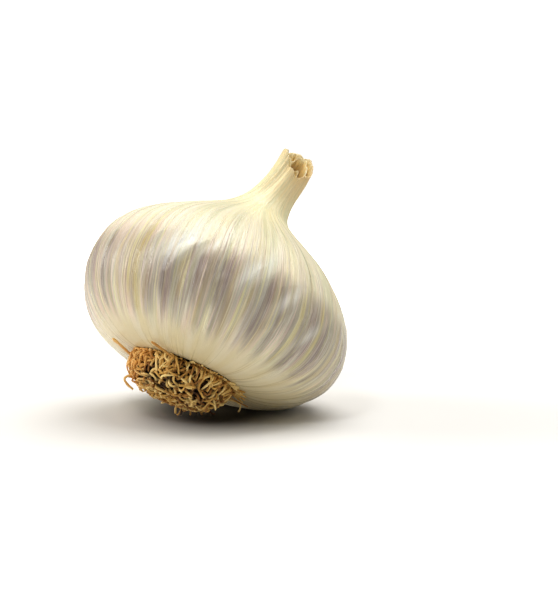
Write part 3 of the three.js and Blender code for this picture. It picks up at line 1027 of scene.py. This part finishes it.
def mat_root_path(out, random, radius, below, stretch, curliness):
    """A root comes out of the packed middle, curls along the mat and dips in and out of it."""
    point = bend_clear(onto_layer(mat_middle(MAT_TOP) + out, ROOT_START), radius)
    way = Vector((-out.y, out.x, 0)).normalized()
    way.rotate(Matrix.Rotation(2 * math.pi * next(random), 3, out))
    # how sharply it curls, in radians for each millimetre, and to which side
    curl = (-1 if next(random) < 0.5 else 1) * (0.1 + 0.35 * next(random)) * curliness
    sway = 1.6 * next(random)
    length = (6.0 + 3.5 * next(random)) * stretch
    depth = 0.93 + 0.05 * next(random) - below
    dips = 0.6 + 1.2 * next(random)
    phase = 2 * math.pi * next(random)
    tip = 0.1 * next(random)
    path = [point.copy()]
    stride = length / (ROOT_STEPS - 1)
    for k in range(1, ROOT_STEPS):
        share = k / (ROOT_STEPS - 1)
        lie = depth + 0.06 * math.sin(phase + 2 * math.pi * dips * share)
        lie += tip * float(ramp(0.7, 1, share))
        rise = float(ramp(0, 0.3, share))
        point = onto_layer(point + way * stride, ROOT_START + (lie - ROOT_START) * rise)
        point = bend_clear(point, radius)
        path.append(point.copy())
        way.rotate(Matrix.Rotation(curl * math.cos(sway * math.pi * share) * stride, 3, out))
    return path


def gap_to_lip(edge):
    """How far the lowest fold of the skin lies outside the edge of the mat."""
    return max(0.0, LIP_RADIUS - math.hypot(edge.x, edge.y))


def clear_line(points):
    """A smooth root through points, bent clear of the skin and of the table."""
    line = smooth_line(points, np.linspace(0, 1, ROOT_STEPS))
    return [bend_clear(Vector(point), FRINGE_RADIUS) for point in line]


def fringe_path(turn, random):
    """A root end that sticks out under the skin, where the mat leaves a gap to it."""
    out = Vector((math.cos(turn), math.sin(turn), 0))
    aside = Vector((-out.y, out.x, 0)) * ((next(random) - 0.5) * 3.0)
    edge = onto_layer(mat_middle(MAT_TOP) + out, 1.0)
    gap = gap_to_lip(edge) + 1.6 * next(random) ** 2
    droop = 0.5 * next(random) ** 2
    points = []
    for outwards, fall, sideways in (
        (-1.5, 0.0, 0.0),
        (-0.3, 0.0, 0.2),
        (0.5 * gap, 0.1, 0.6),
        (gap, droop, 1.0),
    ):
        point = edge + out * outwards + aside * sideways
        point.z = skin_underside(point) - 0.15 - fall
        points.append(point)
    return clear_line(points)


def collar_path(turn, random):
    """A short root that comes out from under the skin and bends down over the mat's shoulder."""
    out = Vector((math.cos(turn), math.sin(turn), 0))
    aside = Vector((-out.y, out.x, 0)) * ((next(random) - 0.5) * 4.4)
    edge = onto_layer(mat_middle(MAT_TOP) + out, 1.0)
    reach = 0.5 * next(random) + 0.25 * (math.sin(9 * turn) + math.sin(5 * turn + 1))
    reach += 0.30 * gap_to_lip(edge)
    drop = 1.2 + 2.6 * next(random)
    hook = 1.2 * next(random) - 0.2
    top = skin_underside(edge) - 0.25 - 0.5 * next(random)
    points = []
    for outwards, fall, sideways in (
        (-1.9, 0.1, 0.0),
        (-0.7, 0.0, 0.15),
        (reach, 0.8, 0.45),
        (reach - 0.1, 0.8 + drop * 0.55, 1.0),
        (-0.2 - hook, 0.8 + drop, 1.25),
    ):
        point = edge + out * outwards + aside * sideways
        point.z = top - fall
        points.append(point)
    return clear_line(points)


root_points = []
root_faces = []
root_grain = []
root_depth = []
tones = np.random.default_rng(5)


def add_root(path, thickest, shaded):
    """A root is a thin tube, a little knobbly, that tapers to its trimmed tip."""
    first = len(root_points)
    # shaded lowers the random tone, as painted shade; below 0 it raises it
    tone = tones.uniform() - shaded
    knobs = tones.uniform(0, 2 * math.pi, 2)
    # any direction, carried along the root so that its sides don't twist
    side = Vector((0.31, 0.52, 0.79))
    last_step = len(path) - 1
    for k, point in enumerate(path):
        share = k / last_step
        depth = mat_share(point)
        ahead = (path[min(k + 1, last_step)] - path[max(k - 1, 0)]).normalized()
        side = (side - ahead * side.dot(ahead)).normalized()
        other = ahead.cross(side)
        radius = thickest * (1 + (ROOT_TIP - 1) * share)
        radius *= 1 + 0.10 * math.sin(9 * share + knobs[0]) + 0.07 * math.sin(23 * share + knobs[1])
        if k == last_step:
            radius *= CUT_TIP
        for turn in once_round(ROOT_SIDES):
            ring = side * (radius * math.cos(turn)) + other * (radius * math.sin(turn))
            root_points.append(tuple(point + ring))
            root_grain.append((tone, share, point.x))
            root_depth.append((depth, 0.0, 0.0))
    root_faces.extend(ring_faces(len(path), ROOT_SIDES, first))
    last = first + last_step * ROOT_SIDES
    root_faces.append(tuple(range(last, last + ROOT_SIDES)))
    root_faces.append(tuple(range(first + ROOT_SIDES - 1, first - 1, -1)))


for count, seed, radius, below, stretch, curliness in ROOT_LAYERS:
    random = seeded_random(seed)
    for k in range(count):
        down = (1 - (k + 0.5) / count) ** 1.3
        side = math.sqrt(1 - down * down)
        turn = k * GOLDEN_ANGLE
        out = Vector((side * math.cos(turn), side * math.sin(turn), -down))
        path = mat_root_path(out, random, radius, below, stretch, curliness)
        add_root(path, radius, DEEPER_SHADE * below)
for k in range(COLLAR_ROOTS):
    turn = (k + 0.7 * next(random)) / COLLAR_ROOTS * 2 * math.pi
    path = collar_path(turn, random)
    add_root(path, COLLAR_RADIUS * (0.85 + 0.3 * next(random)), 0.0)
for k in range(FRINGE_ROOTS):
    turn = math.radians(FRINGE_FROM + FRINGE_SPAN * (k + next(random)) / FRINGE_ROOTS)
    path = fringe_path(turn, random)
    add_root(path, FRINGE_RADIUS * (0.7 + 0.6 * next(random)), -FRINGE_LIGHTER)
for radius, points in STRAY_ROOTS:
    # six steps from each point to the next
    steps = np.linspace(0, 1, 6 * (len(points) - 1) + 1)
    add_root([Vector(point) for point in smooth_line(points, steps)], radius, 0.0)
for begin, foot in STANDING_ROOTS:
    begin = np.array(begin)
    to_foot = np.array((*foot, 0.0)) - begin
    points = [
        (begin[0] + to_foot[0] * out, begin[1] + to_foot[1] * out, begin[2] * up) for out, up in STANDING_BEND
    ]
    path = stood_up(smooth_line(points, np.linspace(0, 1, ROOT_STEPS)))
    add_root([Vector(point) for point in path], STANDING_RADIUS, STANDING_SHADE)

root_material, root_shader = new_material("dry_roots", {"Roughness": 0.6, "Specular IOR Level": 0.35})
g = Graph(root_material.node_tree)
tone, along_root, sideways = g.split(g.values("grain"))
place = g.place()
patchy = g.noise(place, scale=420.0, detail=3.0)
shade = g.math("MULTIPLY_ADD", tone, 0.75, g.times(patchy, 0.45))
rooty = g.colours(
    shade,
    (0.00, (0.03, 0.010, 0.002)),
    (0.14, (0.17, 0.060, 0.010)),
    (0.36, (0.36, 0.160, 0.026)),
    (0.62, (0.62, 0.350, 0.075)),
    (0.92, (0.88, 0.64, 0.24)),
)
# redder on the left of the mat
rooty = g.mix(g.times(g.between(sideways, -6.0, -13.0), 0.45), rooty, (0.77, 0.31, 0.05))
# painted shade: nearly black where a root comes out of the mat, and deep inside it
rooty = g.mix(g.between(along_root, 0.0, 0.35, 0.92, 0.0), rooty, (0.03, 0.010, 0.003))
depth = g.split(g.values("depth"))[0]
rooty = g.mix(g.between(depth, 0.975, 0.88, 0.0, 0.97), rooty, (0.035, 0.011, 0.002))
g.link(rooty, root_shader.inputs["Base Color"])
g.link(g.bump(g.noise(place, scale=1500.0, detail=2.0), 0.5, 0.0002), root_shader.inputs["Normal"])
roots = piece_mesh("roots", pressed_on_table(root_points), root_faces, root_material, "root_tuft")
set_point_values(roots, "grain", root_grain)
set_point_values(roots, "depth", root_depth)

# The packed middle of the mat
# Below the plate the roots grow so densely that they dry into one lump. The loose ones come
# out of it and lie on it, and it shows only as the dark between them, painted nearly black as shade.
PACKED_AROUND = 96
# From its lowest point up its side and back to its middle: radius and height.
PACKED_OUTLINE = (
    (0.05, -19.9),
    (5.0, -19.7),
    (7.4, -18.6),
    (8.3, -17.2),
    (8.5, -16.0),
    (8.7, -15.0),
    (8.8, -14.2),
    (PLATE_RADIUS, -13.4),
    (PLATE_RADIUS, -11.6),
    (0.05, -11.6),
)
packed_angles = once_round(PACKED_AROUND)
packed_rows = []
for radius, height in PACKED_OUTLINE:
    shift = MAT_MIDDLE * float(ramp(-13.4, -16.5, height))
    row = [
        shift.x + radius * np.cos(packed_angles),
        shift.y + radius * np.sin(packed_angles),
        np.full(PACKED_AROUND, height),
    ]
    packed_rows.append(np.stack(row, -1))
packed_points = pressed_on_table(np.concatenate(packed_rows))

packed_material, packed_shader = new_material("packed_roots", {"Roughness": 0.9})
g = Graph(packed_material.node_tree)
clumps = g.noise(g.place(), scale=600.0, detail=4.0, roughness=0.7)
# its near black is painted shade between the loose roots
packed_colour = g.colours(clumps, (0.35, (0.012, 0.005, 0.002)), (0.70, (0.06, 0.028, 0.010)))
g.link(packed_colour, packed_shader.inputs["Base Color"])
g.link(g.bump(clumps, 1.0, 0.0006), packed_shader.inputs["Normal"])
packed_faces = ring_faces(len(PACKED_OUTLINE), PACKED_AROUND)
piece_mesh("packed_roots", packed_points, packed_faces, packed_material, None)

# The table
# A plain white table, not part of the bulb. Away from the bulb it looks white to the camera,
# however little light reaches it. Under the roots its colour is dark, to deepen the shadow there.
TABLE_SIZE = 1.6
# The dark place in metres: half its width and depth, and how far back its middle is.
SHADED_WIDE = 0.019
SHADED_DEEP = 0.034
SHADED_BACK = 0.008
# From the bulb, where the table begins to look white by itself, and where it does so wholly.
WHITE_FROM = 0.05
WHITE_AT = 0.45
table_material, table_shader = new_material("white_table", {"Roughness": 0.6, "Specular IOR Level": 0.1})
g = Graph(table_material.node_tree)
straight = g.tree.nodes.new("ShaderNodeLightPath").outputs["Is Camera Ray"]
place = g.place()
shaded_place = g.stretched(
    place, (1 / SHADED_WIDE, 1 / SHADED_DEEP, 0.0), (0.0, -SHADED_BACK / SHADED_DEEP, 0.0)
)
out_of_shade = g.between(g.length(shaded_place), 0.42, 1.3)
near_white = g.mix(out_of_shade, (0.026, 0.023, 0.021), (0.80, 0.79, 0.77))
far_out = g.between(g.length(place), WHITE_FROM, WHITE_AT)
seen_white = g.mix(far_out, near_white, (2.4, 2.4, 2.4))
# the light that it throws back on the bulb is that of a plain white table
g.link(g.mix(straight, (0.90, 0.90, 0.89), seen_white), table_shader.inputs["Base Color"])
bpy.ops.mesh.primitive_plane_add(size=TABLE_SIZE, location=(0, 0, 0))
table = bpy.context.object
table.name = "white_table"
table.data.materials.append(table_material)

# The light
# A broad soft light overhead, a little behind and to the right, and a smaller one on the left. A
# small one in front gives the dry skin its sheen. The room around is white and evenly lit.
LIT_PLACE = Vector((0, 0, 0.02))
# How bright the room looks behind the bulb, and how much light it gives.
ROOM_SEEN = 1.1
ROOM_LIGHT = 0.28


def soft_light(name, place, size, power, colour):
    """A rectangular lamp at a place in metres, turned to the bulb."""
    lamp = bpy.data.lights.new(name, "AREA")
    lamp.shape = "RECTANGLE"
    lamp.size, lamp.size_y = size
    lamp.energy = power
    lamp.color = colour
    light = bpy.data.objects.new(name, lamp)
    bpy.context.collection.objects.link(light)
    light.location = place
    light.rotation_euler = (LIT_PLACE - Vector(place)).to_track_quat("-Z", "Y").to_euler()


soft_light("overhead", (0.12, 0.10, 0.60), (0.52, 0.54), 4.15, (1.0, 0.98, 0.94))
soft_light("left", (-0.62, 0.06, 0.28), (0.30, 0.30), 2.6, (1.0, 0.97, 0.93))
soft_light("front", (-0.18, -0.44, 0.55), (0.12, 0.12), 1.0, (0.94, 0.97, 1.0))

world = bpy.data.worlds.new("studio")
bpy.context.scene.world = world
world.use_nodes = True
world_nodes = world.node_tree.nodes
world_nodes.clear()
world_out = world_nodes.new("ShaderNodeOutputWorld")
seen = world_nodes.new("ShaderNodeBackground")
seen.inputs["Color"].default_value = (1, 1, 1, 1)
seen.inputs["Strength"].default_value = ROOM_SEEN
lighting = world_nodes.new("ShaderNodeBackground")
lighting.inputs["Color"].default_value = (1.0, 0.99, 0.98, 1)
lighting.inputs["Strength"].default_value = ROOM_LIGHT
rays = world_nodes.new("ShaderNodeLightPath")
choose = world_nodes.new("ShaderNodeMixShader")
world.node_tree.links.new(rays.outputs["Is Camera Ray"], choose.inputs[0])
world.node_tree.links.new(lighting.outputs[0], choose.inputs[1])
world.node_tree.links.new(seen.outputs[0], choose.inputs[2])
world.node_tree.links.new(choose.outputs[0], world_out.inputs["Surface"])

# The camera
# It looks a little down on the bulb, from the side of the roots. Its scale and aim are fitted to
# the picture: pixels for one metre at the bulb, and the pixel of a point on the bulb's axis, which
# is AIM_HEIGHT millimetres above the middle of the widest ring.
ELEVATION = math.radians(7)
CAMERA_DISTANCE = 0.45
PHOTO_WIDTH = 558
PHOTO_HEIGHT = 600
PIXELS_PER_METRE = 4280.0
AIM_PIXEL = (217.5, 304.7)
AIM_HEIGHT = 3.7
SENSOR = 36.0

bulb_axis = turned @ np.array((0.0, 0.0, 1.0))
aim = Vector((ring_middle + bulb_axis * AIM_HEIGHT) * MM)
look = Vector((0, math.cos(ELEVATION), -math.sin(ELEVATION)))
camera_data = bpy.data.cameras.new("camera")
camera_data.sensor_fit = "VERTICAL"
camera_data.sensor_height = SENSOR
camera_data.lens = SENSOR * CAMERA_DISTANCE / (PHOTO_HEIGHT / PIXELS_PER_METRE)
camera_data.shift_x = (PHOTO_WIDTH / 2 - AIM_PIXEL[0]) / PHOTO_HEIGHT
camera_data.shift_y = (AIM_PIXEL[1] - PHOTO_HEIGHT / 2) / PHOTO_HEIGHT
camera_data.clip_start = 0.01
camera = bpy.data.objects.new("camera", camera_data)
bpy.context.collection.objects.link(camera)
camera.location = aim - look * CAMERA_DISTANCE
camera.rotation_euler = (math.radians(90) - ELEVATION, 0, 0)

# colours are shown as they are, without a film look
scene = bpy.context.scene
scene.camera = camera
scene.view_settings.view_transform = "Standard"
scene.view_settings.look = "None"
scene.view_settings.exposure = 0.0
